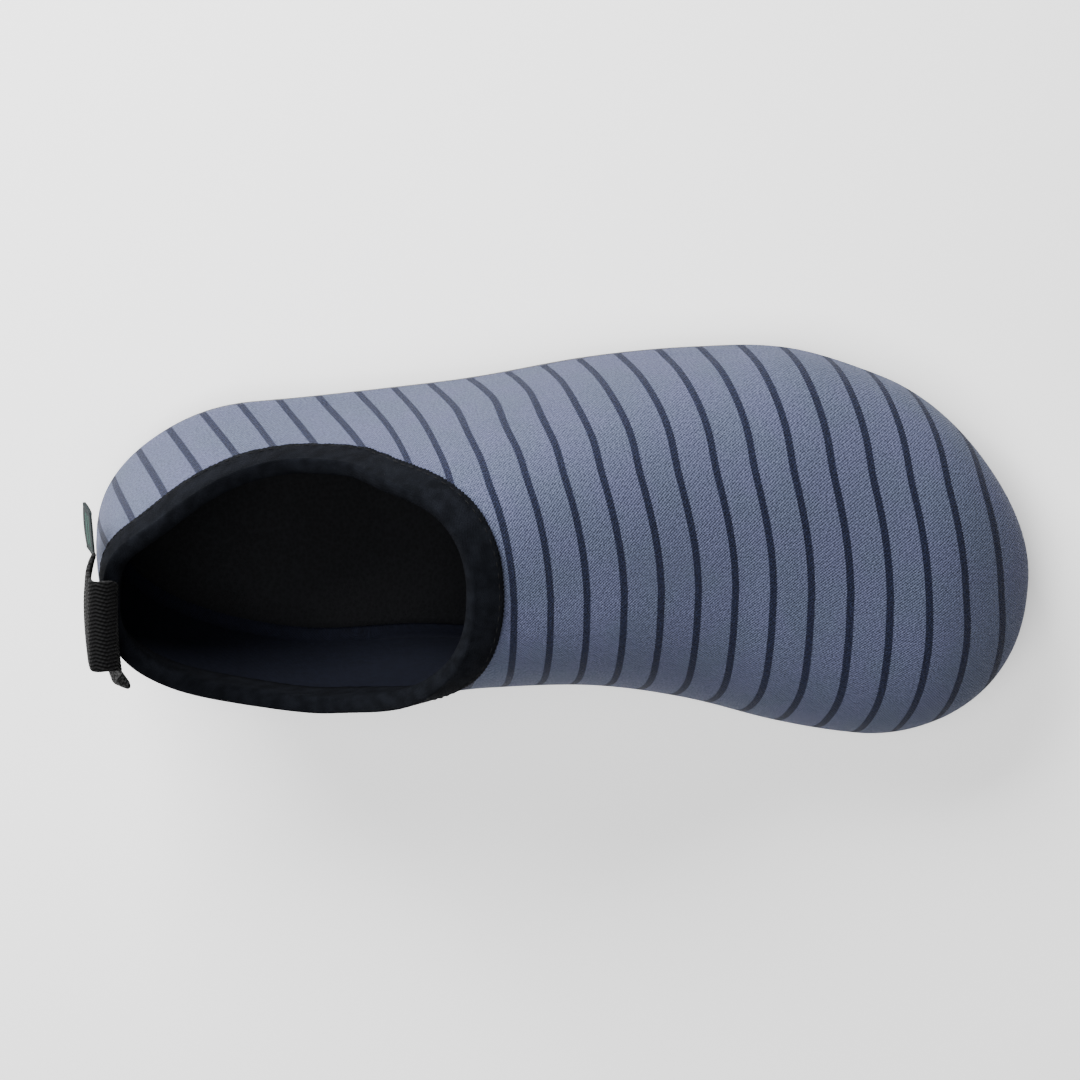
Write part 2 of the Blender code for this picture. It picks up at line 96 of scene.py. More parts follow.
LOOP_YAW = 9.0
LOOP_TWIST = 6.0
LOOP_CUP = 0.0018
SEAT_MARGIN = 0.0030
TAG_WIDTH = 0.013
TAG_HEIGHT = 0.010
TAG_THICK = 0.0008
TAG_SIDE = 0.0110
TAG_FLARE = 8.0
TAG_YAW = 6.0
FULLNESS = 2.2
SOLE_EDGE = 0.0048
SOLE_SIDE = 0.0036
BAND_LOW = 0.0024
BAND_HIGH = 0.0017
LIP_ROW = 3

# Columns of the ring grids on each side, rows of the dome, columns of the collar tape
HALF = 150
DOME_COUNT = 96
TAPE_COLUMNS = 1000
# Distance below which two points become one
MERGE = 2e-6

# Pattern sizes in millimetres: stripes, teeth of the tape, chevron ribs of the webbing,
# its thinner edge, its rounded corners and the sway of its bend
STRIPE_PITCH = 11.0
TOOTH_PITCH = 1.15
TOOTH_DEPTH = 0.42
RIB_LENGTH = 5.2
RIB_PITCH = 1.05
RIB_SLANT = 0.95
RIB_DEPTH = 0.11
SELVEDGE = 0.7
CORNER = 3.5
SWAY = 0.35
# Length and radius of a stitch
TAPE_STITCH = (1.7 * MM, 0.16 * MM)
TACK_STITCH = (2.0 * MM, 0.17 * MM)
FOOTBED_DISH = 0.0005

FLOOR_GLOW = 0.5
WORLD_GLOW = 0.10

# Sections of the last: share of the length, spread from heel width to ball width,
# lateral part of the width, centre line as a share of the ball width,
# rise from toe height to instep height, fullness of the section
SECTIONS = (
    (0.00, -0.52, 0.510, -0.005, 0.99, 3.0),
    (0.10, -0.27, 0.515, 0.005, 1.05, 3.0),
    (0.22, 0.00, 0.515, 0.000, 1.07, 3.0),
    (0.36, 0.11, 0.543, 0.010, 1.00, 2.9),
    (0.50, 0.41, 0.564, 0.010, 0.72, 2.8),
    (0.62, 0.78, 0.557, -0.010, 0.46, 2.7),
    (0.72, 1.03, 0.541, -0.032, 0.32, 2.6),
    (0.82, 0.96, 0.522, -0.070, 0.20, 2.6),
    (0.91, 0.70, 0.504, -0.102, 0.10, 2.6),
    (1.00, 0.38, 0.470, -0.136, 0.00, 2.6),
)
SPREAD, LATERAL, CENTRE, RISE, ROUND = range(1, 6)
# Share of the length, drop of the collar's edge as a share of the dip
COLLAR = ((0.00, 0.00), (0.06, 0.32), (0.15, 1.00), (0.28, 0.86), (0.40, 0.48), (0.52, 0.02))
# Share of the length, how far the edge is drawn in on the outer and on the inner side
COLLAR_DRAW = (
    (0.00, 0.052, 0.000), (0.05, 0.047, 0.000), (0.09, 0.018, 0.000), (0.14, 0.004, 0.000),
    (0.21, 0.000, 0.004), (0.25, 0.022, 0.010), (0.28, 0.058, 0.008), (0.31, 0.058, 0.000),
    (0.34, 0.042, 0.000), (0.37, 0.020, 0.000),
)
# Share of the bulge's height, share of the tuck
TUCK = ((1.00, 0.00), (0.82, 0.05), (0.66, 0.19), (0.47, 0.50), (0.28, 0.69), (0.12, 0.84))
# Share of the columns, share along the outline, share along the collar
COLUMNS = ((0.00, 0.00, 0.00), (0.30, 0.22, 0.40), (0.60, 0.52, 0.80), (0.80, 0.78, 0.90), (1.00, 1.00, 1.00))


def smooth_curve(points, x):
    """Cubic Hermite curve through the points, with Catmull-Rom slopes."""
    xs, ys = np.array(points, float).T
    slope = np.gradient(ys, xs)
    x = np.clip(x, xs[0], xs[-1])
    k = np.clip(np.searchsorted(xs, x, side="right") - 1, 0, len(xs) - 2)
    step = xs[k + 1] - xs[k]
    t = (x - xs[k]) / step
    ease = t * t * (3 - 2 * t)
    rise = (t**3 - 2 * t**2 + t) * slope[k] + (t**3 - t**2) * slope[k + 1]
    return ys[k] + (ys[k + 1] - ys[k]) * ease + step * rise


def unit(vectors):
    return vectors / np.maximum(np.linalg.norm(vectors, axis=-1)[..., None], 1e-12)


def ease_in_out(t):
    t = np.clip(t, 0, 1)
    return t * t * (3 - 2 * t)


def ramp_up(value, start, end):
    return ease_in_out((value - start) / (end - start))


def hump(value, centre, width):
    return np.exp(-((value - centre) / width) ** 2)


def column(table, number):
    return [(row[0], row[number]) for row in table]


def section_value(x, number):
    return smooth_curve(column(SECTIONS, number), x / SHOE_LENGTH)


def end_round(distance, radius, power):
    t = np.clip(1 - distance / radius, 0, 1)
    return (1 - t**power) ** (1 / power)


def ground_clearance(x):
    share = x / SHOE_LENGTH
    heel = HEEL_BEVEL * np.clip(1 - share / 0.05, 0, 1) ** 2
    arch = ARCH_RISE * np.sin(np.pi * np.clip((share - 0.30) / 0.24, 0, 1)) ** 2
    toe = TOE_SPRING * np.clip((share - 0.79) / 0.21, 0, 1) ** 1.8
    return heel + arch + toe


def floor_height(x):
    ramp = ease_in_out((x / SHOE_LENGTH - 0.15) / 0.40)
    return ground_clearance(x) + HEEL_STACK + (FORE_STACK - HEEL_STACK) * ramp


def equator_height(x):
    return floor_height(x) + BULGE_HEIGHT


def centre_line(x):
    return BALL_WIDTH * section_value(x, CENTRE)


def half_width(x, side):
    width = HEEL_WIDTH + (BALL_WIDTH - HEEL_WIDTH) * section_value(x, SPREAD)
    lateral = section_value(x, LATERAL)
    ends = end_round(x, HEEL_RADIUS, FULLNESS)
    ends = ends * end_round(SHOE_LENGTH - x, TOE_RADIUS, FULLNESS)
    return width * np.where(side > 0, lateral, 1 - lateral) * ends


def fullness(x):
    return section_value(x, ROUND)


def ridge_height(x):
    top = TOE_HEIGHT + (INSTEP_HEIGHT - TOE_HEIGHT) * section_value(x, RISE)
    ends = end_round(x, BACK_RADIUS, 2) * end_round(SHOE_LENGTH - x, TOE_CAP_RADIUS, 2)
    return equator_height(x) + (top - equator_height(x)) * ends


def section_height(x, fraction):
    """Height of the last over a share of the half width."""
    arch = (1 - np.clip(fraction, 0, 1) ** fullness(x)) ** (1 / fullness(x))
    return equator_height(x) + (ridge_height(x) - equator_height(x)) * arch


def across_share(x, y):
    """Half width on the point's side, and the point's share of it."""
    offset = y - centre_line(x)
    width = np.maximum(half_width(x, np.sign(offset)), 1e-6)
    return width, np.abs(offset) / width


def dome_height(x, y):
    return section_height(x, across_share(x, y)[1])


def lean(points):
    """Lean the ankle part towards the inner ankle, and its back rearwards."""
    x, z = points[..., 0], points[..., 2]
    rise = np.clip((z - equator_height(x)) / LEAN_HEIGHT, 0, 1.3)
    ankle = ease_in_out((COLLAR_LENGTH + ANKLE_FRONT - x) / ANKLE_BLEND)
    back = end_round(x, HEEL_RADIUS, FULLNESS)
    moved = points.copy()
    moved[..., 0] -= BACK_LEAN * rise * (1 - back**2)
    moved[..., 1] -= SIDE_LEAN * rise * ankle * back
    return moved


def run_along(points):
    """Distance from the first point of a line to each of its points."""
    steps = np.linalg.norm(np.diff(points, axis=0), axis=1)
    return np.concatenate([[0], np.cumsum(steps)])


def resample(points, shares):
    reach = run_along(points[:, :3])
    wanted = np.asarray(shares) * reach[-1]
    return np.stack([np.interp(wanted, reach, points[:, k]) for k in range(points.shape[1])], 1)


def close_ring(lateral, medial):
    return np.concatenate([lateral, medial[-2:0:-1]])


def outline_half(side):
    turn = np.linspace(0, math.pi, 2400)
    x = SHOE_LENGTH * (1 - np.cos(turn)) / 2
    return np.stack([x, centre_line(x) + side * half_width(x, side)], 1)


def collar_half(side, shares):
    turn = np.linspace(0, math.pi, 3000)
    x = COLLAR_LENGTH * (1 - np.cos(turn)) / 2
    height = HEEL_HEIGHT - COLLAR_DIP * smooth_curve(COLLAR, x / SHOE_LENGTH)
    low = equator_height(x)
    ratio = (height - low) / np.maximum(ridge_height(x) - low, 1e-6)
    open_part = (1 - np.clip(ratio, 0, 1) ** fullness(x)) ** (1 / fullness(x))
    front = end_round(COLLAR_LENGTH - x, THROAT_RADIUS, FULLNESS)
    draw = smooth_curve(column(COLLAR_DRAW, 1 if side > 0 else 2), x / SHOE_LENGTH)
    y = centre_line(x) + side * half_width(x, side) * open_part * front * (1 - draw)
    start = np.nonzero(ratio < 1)[0][0] - 1
    return resample(np.stack([x, y], 1)[start:], shares)


share_line = np.linspace(0, 1, HALF + 1)
outline_shares = smooth_curve(column(COLUMNS, 1), share_line)
collar_shares = smooth_curve(column(COLUMNS, 2), share_line)
outline_ring = close_ring(*(resample(outline_half(side), outline_shares) for side in (1, -1)))
collar_ring = close_ring(*(collar_half(side, collar_shares) for side in (1, -1)))
COUNT = len(outline_ring)


def inset_ring(inset, ring=outline_ring):
    onward = unit(np.roll(ring, -1, axis=0) - np.roll(ring, 1, axis=0))
    return ring + inset * np.stack([onward[:, 1], -onward[:, 0]], 1)


def lift(plan, height):
    z = height(plan[:, 0]) if callable(height) else height
    return np.column_stack([plan, z])


def normals_of(rows):
    steps = unit(np.diff(rows, axis=0))
    up = unit(np.concatenate([steps[:1], steps[1:] + steps[:-1], steps[-1:]]))
    onward = unit(np.roll(rows, -1, axis=1) - rows)
    return unit(np.cross(up, onward + np.roll(onward, 1, axis=1)))


def margin_rows(heights):
    """Rows of the outer face from its turned-in edge up to the widest line."""
    rows = []
    for inset in (TUCK_IN + MARGIN, TUCK_IN + 0.5 * MARGIN, TUCK_IN):
        rows.append(lift(inset_ring(inset), lambda x: floor_height(x) + GAP))
    for share in heights:
        tuck = np.interp(share, *np.array(sorted(TUCK)).T)
        rows.append(lift(inset_ring(tuck * TUCK_IN), lambda x, s=share: floor_height(x) + s * BULGE_HEIGHT))
    return rows


def dome_sheet():
    """Fine sheet from the widest line to the collar edge, before it is cut into rows."""
    blend = np.linspace(0, 1, 260) ** 2.2
    plan = outline_ring + blend[:, None, None] * (collar_ring - outline_ring)
    height = dome_height(plan[..., 0], plan[..., 1])
    return np.concatenate([plan, height[..., None]], axis=2)


plain_sheet = dome_sheet()
leaning_sheet = lean(plain_sheet)
even = np.linspace(0, 1, DOME_COUNT) ** 1.15
# each column carries its leaning point and its plain point
dome = np.stack([
    resample(np.concatenate([leaning_sheet[:, k], plain_sheet[:, k]], axis=1), even)
    for k in range(COUNT)
], axis=1)
tuck_heights = np.linspace(0.12, 1, 12)[:-1]
margin = np.array(margin_rows(tuck_heights))
skin = np.concatenate([margin, dome[..., :3]])
plain = np.concatenate([margin, dome[..., 3:]])
FIRST_DOME = len(margin)
skin_normal = normals_of(skin)


def girth_from_ridge(x, y):
    """Distance over the section from the ridge down to a point, in millimetres."""
    width, fraction = across_share(x, y)
    shares = np.clip(fraction, 0, 1)[..., None] * np.linspace(0, 1, 60) ** 0.6
    xx = np.broadcast_to(x[..., None], shares.shape)
    z = section_height(xx, shares)
    flat = width[..., None] * shares
    return np.hypot(np.diff(flat, axis=-1), np.diff(z, axis=-1)).sum(-1) / MM


# Offset of a stripe from its place on the ridge, by distance over the foot, in millimetres
LATERAL_SWEEP = (
    (0, 0), (8.5, -1.2), (17, -2.9), (25.5, -5.1), (34, -7.6), (44, -9.6), (61, -13.8), (84, -18.3),
    (110, -23.0),
)
MEDIAL_SWEEP = ((0, 0), (18, 0.8), (34, 0.7), (46, -1.2), (60, -3.6), (90, -8.0), (110, -10.0))
# Place on the ridge in millimetres from the heel's back, number of the stripe
STRIPE_PLACES = (
    (-25.0, -12.2), (1.4, -10.0), (55.2, -5.0), (88.4, -2.0), (110.4, 0.0), (131.3, 2.0), (153.0, 4.0),
    (175.5, 6.0), (198.4, 8.0), (222.5, 10.0), (246.8, 12.0), (259.3, 13.0), (285.0, 15.0),
)
# Least stripe number at the heel's back, so that no stripe runs along the seam
LAST_STRIPE = -10.82
# Stretches over which the stripes' layout changes, in millimetres from the heel's back
HEEL_TURN = (4, 14)
WALL_END = (72, 104)
TOE_START = (215, 255)
# Offset of the stripes on the wall at a height over the ground, all in millimetres
WALL_LATERAL = -16.3
WALL_MEDIAL = -12.5
WALL_LEVEL = 17


def weave_fields(points):
    """Stripe number, and distance along the stripe in millimetres, for points of the skin."""
    x, y, z = (points[..., k] for k in range(3))
    mm_x, mm_z = x / MM, z / MM
    side = np.where(y >= centre_line(x), 1.0, -1.0)
    girth = girth_from_ridge(x, y) + np.clip(equator_height(x) - z, 0, None) / MM
    line = outline_half(1)
    line_x, reach = line[:, 0], run_along(line)
    # round the heel the rows follow the outline, ahead of it they follow the shoe's length
    arc = np.interp(x, line_x, reach) / MM
    # behind the heel the place on the outline comes from the angle, the same at every height
    line_angle = np.arctan2(half_width(line_x, 1), HEEL_RADIUS - line_x)
    angle = np.arctan2(np.abs(y - centre_line(x)), HEEL_RADIUS - x)
    round_heel = np.interp(angle, line_angle, reach) / MM
    arc = round_heel + (arc - round_heel) * ramp_up(mm_x, *HEEL_TURN)
    heel_end = 1.33 * HEEL_CENTRE
    place_x = np.where(x < heel_end, arc - (np.interp(heel_end, line_x, reach) - heel_end) / MM, mm_x)
    front = ramp_up(mm_x, *WALL_END)
    toe = ramp_up(mm_x, *TOE_START)
    # beside the collar the stripes lean with the height over the ground
    wall_slope = np.interp(mm_x, (0, 12, 40, 68, 90), (0.15, 0.21, 0.28, 0.27, 0.22))
    wall_lateral = WALL_LATERAL + wall_slope * (mm_z - WALL_LEVEL)
    wall_medial = WALL_MEDIAL + 0.20 * (mm_z - WALL_LEVEL)
    shoulder = hump(mm_x, 166, 34) * hump(girth, 25, 13)
    waist = ramp_up(girth, 48, 76) * hump(mm_x, 108, 22)
    over_lateral = smooth_curve(LATERAL_SWEEP, girth) - toe * 0.045 * girth - 0.5 * shoulder + 3.0 * waist
    held = girth / (1 + (girth / 42) ** 4) ** 0.25
    over_medial = smooth_curve(MEDIAL_SWEEP, girth) + toe * (0.18 * held - 0.0071 * held**2)
    wall = np.where(side > 0, wall_lateral, wall_medial)
    over = np.where(side > 0, over_lateral, over_medial)
    number = smooth_curve(STRIPE_PLACES, place_x - (wall + (over - wall) * front))
    high = 112 - mm_z
    along = side * (high + (girth - high) * front)
    return np.maximum(number, LAST_STRIPE), along


def new_mesh(name, points, faces, slots=None):
    mesh = bpy.data.meshes.new(name)
    mesh.from_pydata([tuple(p) for p in points], [], [tuple(f) for f in faces])
    if slots is not None:
        mesh.polygons.foreach_set("material_index", np.asarray(slots, np.int32))
    mesh.shade_smooth()
    mesh.update()
    obj = bpy.data.objects.new(name, mesh)
    bpy.context.scene.collection.objects.link(obj)
    return obj


def put_field(obj, values):
    """Store a vector per point for the materials to read."""
    layer = obj.data.attributes.new("weave", "FLOAT_VECTOR", "POINT")
    layer.data.foreach_set("vector", np.ascontiguousarray(values, np.float32).ravel())


def grid_faces(rows, columns, start=0, closed=True, flip=False):
    k = np.arange(columns if closed else columns - 1)
    following = (k + 1) % columns
    faces = []
    for r in range(rows - 1):
        low, high = start + r * columns, start + (r + 1) * columns
        quad = np.stack([low + k, low + following, high + following, high + k], 1)
        faces.append(quad[:, ::-1] if flip else quad)
    return np.concatenate(faces)


def tube_faces(rows, around, start=0):
    """Faces of a tube with both of its ends closed."""
    faces = list(grid_faces(rows, around, start))
    faces.append([start + k for k in range(around - 1, -1, -1)])
    faces.append([start + (rows - 1) * around + k for k in range(around)])
    return faces


def settle(obj, merge=0.0):
    """Turn the faces outwards, after joining the doubled points if asked to."""
    bm = bmesh.new()
    bm.from_mesh(obj.data)
    if merge:
        bmesh.ops.remove_doubles(bm, verts=bm.verts, dist=merge)
    bmesh.ops.recalc_face_normals(bm, faces=bm.faces)
    bm.to_mesh(obj.data)
    bm.free()


def moved_by(matrix, points):
    return points @ matrix[:3, :3].T + matrix[:3, 3]


def in_frame(points):
    """From heel-back coordinates to the row frame."""
    moved = np.array(points, float).reshape(-1, 3)
    moved[..., 0] -= HEEL_CENTRE
    return moved


def relief(points, number, along, to_collar, to_sole):
    """Soft waves of the stretch fabric along its normal, in millimetres."""
    x, y = (points[..., k] / MM for k in range(2))
    broad = 0.30 * np.sin(x / 23 + 0.4) * np.sin(along / 19 + 1.1)
    broad += 0.20 * np.sin(x / 13 - y / 17 + 2.0)
    collar = 0.16 * np.sin(number * 3.1 + along / 4.2) * np.exp(-to_collar / 5.5)
    sole = 0.13 * np.sin(number * 7.3) * np.exp(-to_sole / 5.0)
    bend = -0.275 * hump(x + 0.10 * y, 178, 7.0) * hump(y, -8, 26)
    bend += 0.15 * hump(x + 0.10 * y, 189, 7.0) * hump(y, -8, 24)
    return broad + collar + sole + bend


number, along = weave_fields(plain)
edge_line = skin[-1]
dome_part = skin[FIRST_DOME:]
gap_to_edge = np.full(skin.shape[:2], 99.0)
for k in range(0, COUNT, 4):
    away = np.linalg.norm(dome_part - edge_line[k], axis=2) / MM
    gap_to_edge[FIRST_DOME:] = np.minimum(gap_to_edge[FIRST_DOME:], away)
gap_to_sole = np.abs(skin[..., 2] - equator_height(plain[..., 0])) / MM + 2
lift_mm = relief(skin, number, along, gap_to_edge, gap_to_sole)
free = ramp_up(gap_to_edge, 8.5, 13.5) * ramp_up(gap_to_sole, 4, 10)
raised = skin + (lift_mm * free * MM)[..., None] * skin_normal


def build_upper():
    """Outer knit face and inner lining face, joined along the margin and the collar."""
    inner = skin - WALL * skin_normal
    rows = np.concatenate([raised, inner[::-1]])
    count_rows = len(rows)
    faces = grid_faces(count_rows, COUNT)
    closing = grid_faces(2, COUNT)
    last = (count_rows - 1) * COUNT
    closing = np.where(closing < COUNT, closing + last, closing - COUNT)
    faces = np.concatenate([faces, closing])
    slots = np.zeros(len(faces), int)
    slots[len(skin) * COUNT:] = 1
    obj = new_mesh("upper_knit", in_frame(rows), faces, slots)
    fields = np.stack([number, along, gap_to_edge], -1)
    put_field(obj, np.concatenate([fields, fields[::-1]]))
    return obj


def tape_columns(count):
    """Collar tape strip: points down the skin from its edge, more columns than the skin."""
    shares = np.linspace(0, 1, 9)
    strip = []
    for k in range(COUNT):
        line = leaning_sheet[:, k]
        away = np.min(np.linalg.norm(line[:, None] - edge_line[None, ::3], axis=2), axis=1)
        last = len(line) - np.argmax(away[::-1] > TAPE_WIDTH)
        past = (away[last - 1] - TAPE_WIDTH) / (away[last - 1] - away[last])
        start = line[last - 1] + past * (line[last] - line[last - 1])
        strip.append(resample(np.concatenate([start[None], line[last:]]), shares))
    strip = np.array(strip)
    ring = np.concatenate([strip, strip[:1]])
    reach = run_along(ring[:, -1])
    wanted = np.linspace(0, reach[-1], count + 1)[:-1]
    fine = np.empty((count,) + strip.shape[1:])
    for q in range(strip.shape[1]):
        for axis in range(3):
            fine[:, q, axis] = np.interp(wanted, reach, ring[:, q, axis])
    for _ in range(2):
        fine = (np.roll(fine, 1, axis=0) + 2 * fine + np.roll(fine, -1, axis=0)) / 4
    return fine.transpose(1, 0, 2), wanted


def build_binding():
    """Puffed tape folded over the collar edge, with a toothed outer edge."""
    strip, reach = tape_columns(TAPE_COLUMNS)
    normal = normals_of(strip)
    up = unit(strip[-1] - strip[-2])
    mm = reach / MM
    teeth = np.abs(((mm / TOOTH_PITCH) % 1) - 0.5) * 2
    wander = 0.05 * np.sin(mm / 3.7) + 0.04 * np.sin(mm / 1.9 + 1)
    drop = (TOOTH_DEPTH * teeth + wander)[:, None] * MM
    shares = np.linspace(0, 1, len(strip))
    puff = 0.45 + 0.62 * np.sin(np.pi * np.clip(shares * 0.62 + 0.06, 0, 1)) ** 0.7
    soft = 1 + 0.05 * np.sin(mm / 2.3) + 0.04 * np.sin(mm / 5.1 + 2)
    down = unit(strip[0] - strip[1])
    rows = [strip[0] + 0.25 * MM * normal[0] + (drop - 0.1 * MM) * down]
    rows.append(strip[0] + 0.52 * MM * normal[0] + (drop + 0.1 * MM) * down)
    for q in range(len(strip)):
        height = (GAP / MM * 0.6 + puff[q] * soft * TAPE_THICK / MM)[:, None] * MM
        slack = max(0.0, 1 - q / 1.5)
        rows.append(strip[q] + height * normal[q] + slack * drop * down)
    edge, n = strip[-1], normal[-1]
    outer = GAP + 1.12 * TAPE_THICK
    inner = -(WALL + 1.5 * GAP + TAPE_THICK)
    middle, radius = (outer + inner) / 2, (outer - inner) / 2
    crown = GAP + TAPE_THICK
    for degrees in range(20, 180, 20):
        angle = math.radians(degrees)
        rows.append(edge + (middle + radius * math.cos(angle)) * n + crown * math.sin(angle) ** 0.8 * up)
    for q in range(len(strip) - 1, -1, -2):
        rows.append(strip[q] + (inner + (0.25 * MM if q == 0 else 0)) * normal[q])
    rows.append(strip[0] - (WALL + 0.3 * GAP) * normal[0])
    rows = np.array(rows)
    obj = new_mesh("collar_tape", in_frame(rows), grid_faces(len(rows), TAPE_COLUMNS))
    fields = np.zeros(rows.shape)
    fields[..., 0] = mm
    fields[..., 1] = run_along(rows[:, 0])[:, None] / MM
    put_field(obj, fields)
    return obj


def ladder(ring, spans, height):
    """Points across a ring, from each lateral column to its medial partner."""
    t = np.linspace(0, 1, spans + 1)[:, None]
    points = np.array([ring[k] + (ring[-k % COUNT] - ring[k]) * t for k in range(HALF + 1)])
    points[..., 2] += height(np.linspace(-1, 1, spans + 1))
    return points


def close_rings(name, rings, spans, caps):
    """Piece made of rings, closed by caps: pairs of a ring and the height added across it."""
    points = [np.array(rings).reshape(-1, 3)]
    faces = [grid_faces(len(rings), COUNT)]
    start = len(rings) * COUNT
    for ring, flip, height in caps:
        points.append(ladder(ring, spans, height).reshape(-1, 3))
        faces.append(grid_faces(HALF + 1, spans + 1, start, closed=False, flip=flip))
        start += (HALF + 1) * (spans + 1)
    obj = new_mesh(name, in_frame(np.concatenate(points)), np.concatenate(faces))
    settle(obj, MERGE)
    return obj


def build_insole():
    """Footbed with a rounded edge and a shallow dish."""
    seat = 2 * GAP + WALL
    face = skin - (WALL + GAP) * skin_normal
    part = face[2:FIRST_DOME + 1]
    above = np.maximum.accumulate(part[..., 2] - floor_height(part[..., 0]), axis=0)

    def ring_at(height, inset):
        return inset_ring(inset, np.array([
            [np.interp(height, above[:, k], part[:, k, axis]) for axis in (0, 1)] for k in range(COUNT)
        ]))

    rings = []
    for share, inset in ((0.0, 0.0005), (0.25, 0.0), (0.6, 0.0), (0.85, 0.0003), (0.97, 0.0009)):
        height = seat + share * INSOLE_THICK
        rings.append(lift(ring_at(height, inset), lambda x, h=height: floor_height(x) + h))
    caps = (rings[-1], True, lambda f: -FOOTBED_DISH * (1 - f**2)), (rings[0], False, np.zeros_like)
    return close_rings("footbed", rings, 36, caps)


def build_outsole():
    """Rubber sole from the same named sizes as the CAD sole, with rounder edges."""
    cup = skin + GAP * skin_normal
    lip_share = TUCK[LIP_ROW][0]
    lip = lip_share * BULGE_HEIGHT
    side = (
        (SOLE_EDGE + 0.0003, ground_clearance),
        (SOLE_EDGE, lambda x: ground_clearance(x) + 0.0001),
        (SOLE_EDGE - 0.0004, lambda x: ground_clearance(x) + 0.0005),
        (SOLE_EDGE - 0.0008, lambda x: ground_clearance(x) + 0.0018),
        (SOLE_SIDE + 0.0001, lambda x: floor_height(x) - 1.75 * BAND_DROP),
        (SOLE_SIDE - 0.0003, lambda x: floor_height(x) - 1.50 * BAND_DROP),
        (BAND_LOW + 0.0002, lambda x: floor_height(x) - 1.05 * BAND_DROP),
        (BAND_LOW - 0.0002, lambda x: floor_height(x) - 0.75 * BAND_DROP),
        (BAND_LOW - 0.0004, lambda x: floor_height(x) - 0.1 * BAND_DROP),
        (BAND_HIGH - 0.0001, lambda x: floor_height(x) + lip - 0.0011),
        (BAND_HIGH, lambda x: floor_height(x) + lip - 0.0005),
        (BAND_HIGH + 0.0002, lambda x: floor_height(x) + lip - 0.00012),
        (BAND_HIGH + 0.0005, lambda x: floor_height(x) + lip),
    )
    rings = [lift(inset_ring(inset), height) for inset, height in side]
    # the cup follows the upper from the last row under the lip down to its turned-in edge
    top_row = 2 + int(np.searchsorted(tuck_heights, lip_share, side="right"))
    rings += [cup[row] for row in range(top_row, 0, -1)]
    channel = inset_ring(TUCK_IN + MARGIN + GAP)
    rings.append(lift(channel, floor_height))
    rings.append(lift(channel, lambda x: floor_height(x) + GAP + WALL))
    caps = (rings[-1], True, np.zeros_like), (rings[0], False, np.zeros_like)
    obj = close_rings("sole_rubber", rings, 1, caps)
    cut_grooves(obj)
    return obj


def groove_places():
    places = []
    for centre, pairs in ((HEEL_CENTRE, 3), (BALL_CENTRE, 5)):
        for k in range(pairs):
            places += [centre - (k + 0.5) * GROOVE_PITCH, centre + (k + 0.5) * GROOVE_PITCH]
    return sorted(place for place in places if place < SHOE_LENGTH - TOE_RADIUS / 2)


def cut_grooves(obj):
    """Bowed bars taken out of the tread, one for each groove."""
    across = np.linspace(-0.7, 0.7, 25)
    points, faces = [], []
    for place in groove_places():
        x = place + GROOVE_BOW * (0.2 - across**2)
        y = across * BALL_WIDTH + centre_line(place)
        top = ground_clearance(x) + TREAD_DEPTH
        start = len(points)
        for k in range(len(across)):
            for dx, z in ((-0.62, -TREAD_DEPTH), (0.62, -TREAD_DEPTH), (0.42, top[k]), (-0.42, top[k])):
                points.append((x[k] + dx * GROOVE_WIDTH - HEEL_CENTRE, y[k], z))
        faces += tube_faces(len(across), 4, start)
    cutter = new_mesh("groove_bars", points, faces)
    settle(cutter, MERGE)
    cut = obj.modifiers.new("grooves", "BOOLEAN")
    cut.operation = "DIFFERENCE"
    cut.solver = "EXACT"
    cut.object = cutter
    bpy.context.view_layer.update()
    result = bpy.data.meshes.new_from_object(obj.evaluated_get(bpy.context.evaluated_depsgraph_get()))
    obj.modifiers.clear()
    obj.data = result
    result.shade_smooth()
    result.set_sharp_from_angle(angle=math.radians(35))
    bpy.data.objects.remove(cutter)


def cupped(y, height, top):
    """How far a leg of the loop bends forward round the heel."""
    return LOOP_CUP * ((y - LOOP_MIDDLE) / (WEB_WIDTH / 2)) ** 2 * (1 - np.clip(height / top, 0, 1))


def seat_behind_heel(turn, centre, sides, ends, curve):
    """Matrix that puts a trim piece's local face x = 0, curved or flat, behind the heel."""
    strip = tape_columns(TAPE_COLUMNS // 2)[0]
    tape = strip + (GAP + TAPE_THICK) * normals_of(strip)
    heel = np.concatenate([skin[FIRST_DOME:].reshape(-1, 3)[::3], tape.reshape(-1, 3)])
    heel = heel[heel[:, 0] < HEEL_CENTRE]
    place = Matrix.Translation(centre) @ turn
    x, y, z = moved_by(np.array(place.inverted()), heel).T
    near = (y > sides[0] - SEAT_MARGIN) & (y < sides[1] + SEAT_MARGIN)
    near &= (z > ends[0] - SEAT_MARGIN) & (z < ends[1] + SEAT_MARGIN)
    return place @ Matrix.Translation(((x - curve(y, z))[near].min() - GAP, 0, 0))


def loop_path(count):
    """Side view of the loop: up the front leg, over the bend and down the rear leg."""
    front_leg = -WEB_THICK / 2
    rear_leg = front_leg - WEB_THICK - GAP
    bend = LOOP_DEPTH / 2
    middle = front_leg - LOOP_LEAN
    top = LOOP_HEIGHT - bend
    points = [(front_leg, -LOOP_SEAM), (front_leg, 0.0), (front_leg + 0.25 * LOOP_DEPTH, 0.3 * LOOP_HEIGHT)]
    for degrees in range(0, 181, 30):
        angle = math.radians(degrees)
        points.append((middle + bend * math.cos(angle), top + bend * math.sin(angle)))
    points += [(rear_leg - 0.05 * LOOP_DEPTH, 0.3 * LOOP_HEIGHT), (rear_leg, 0.0), (rear_leg, -REAR_SEAM)]
    path = np.array(points)
    reach = run_along(path)
    wanted = np.linspace(0, reach[-1], count)
    line = np.stack([smooth_curve(list(zip(reach, path[:, k])), wanted) for k in (0, 1)], 1)
    return line, wanted


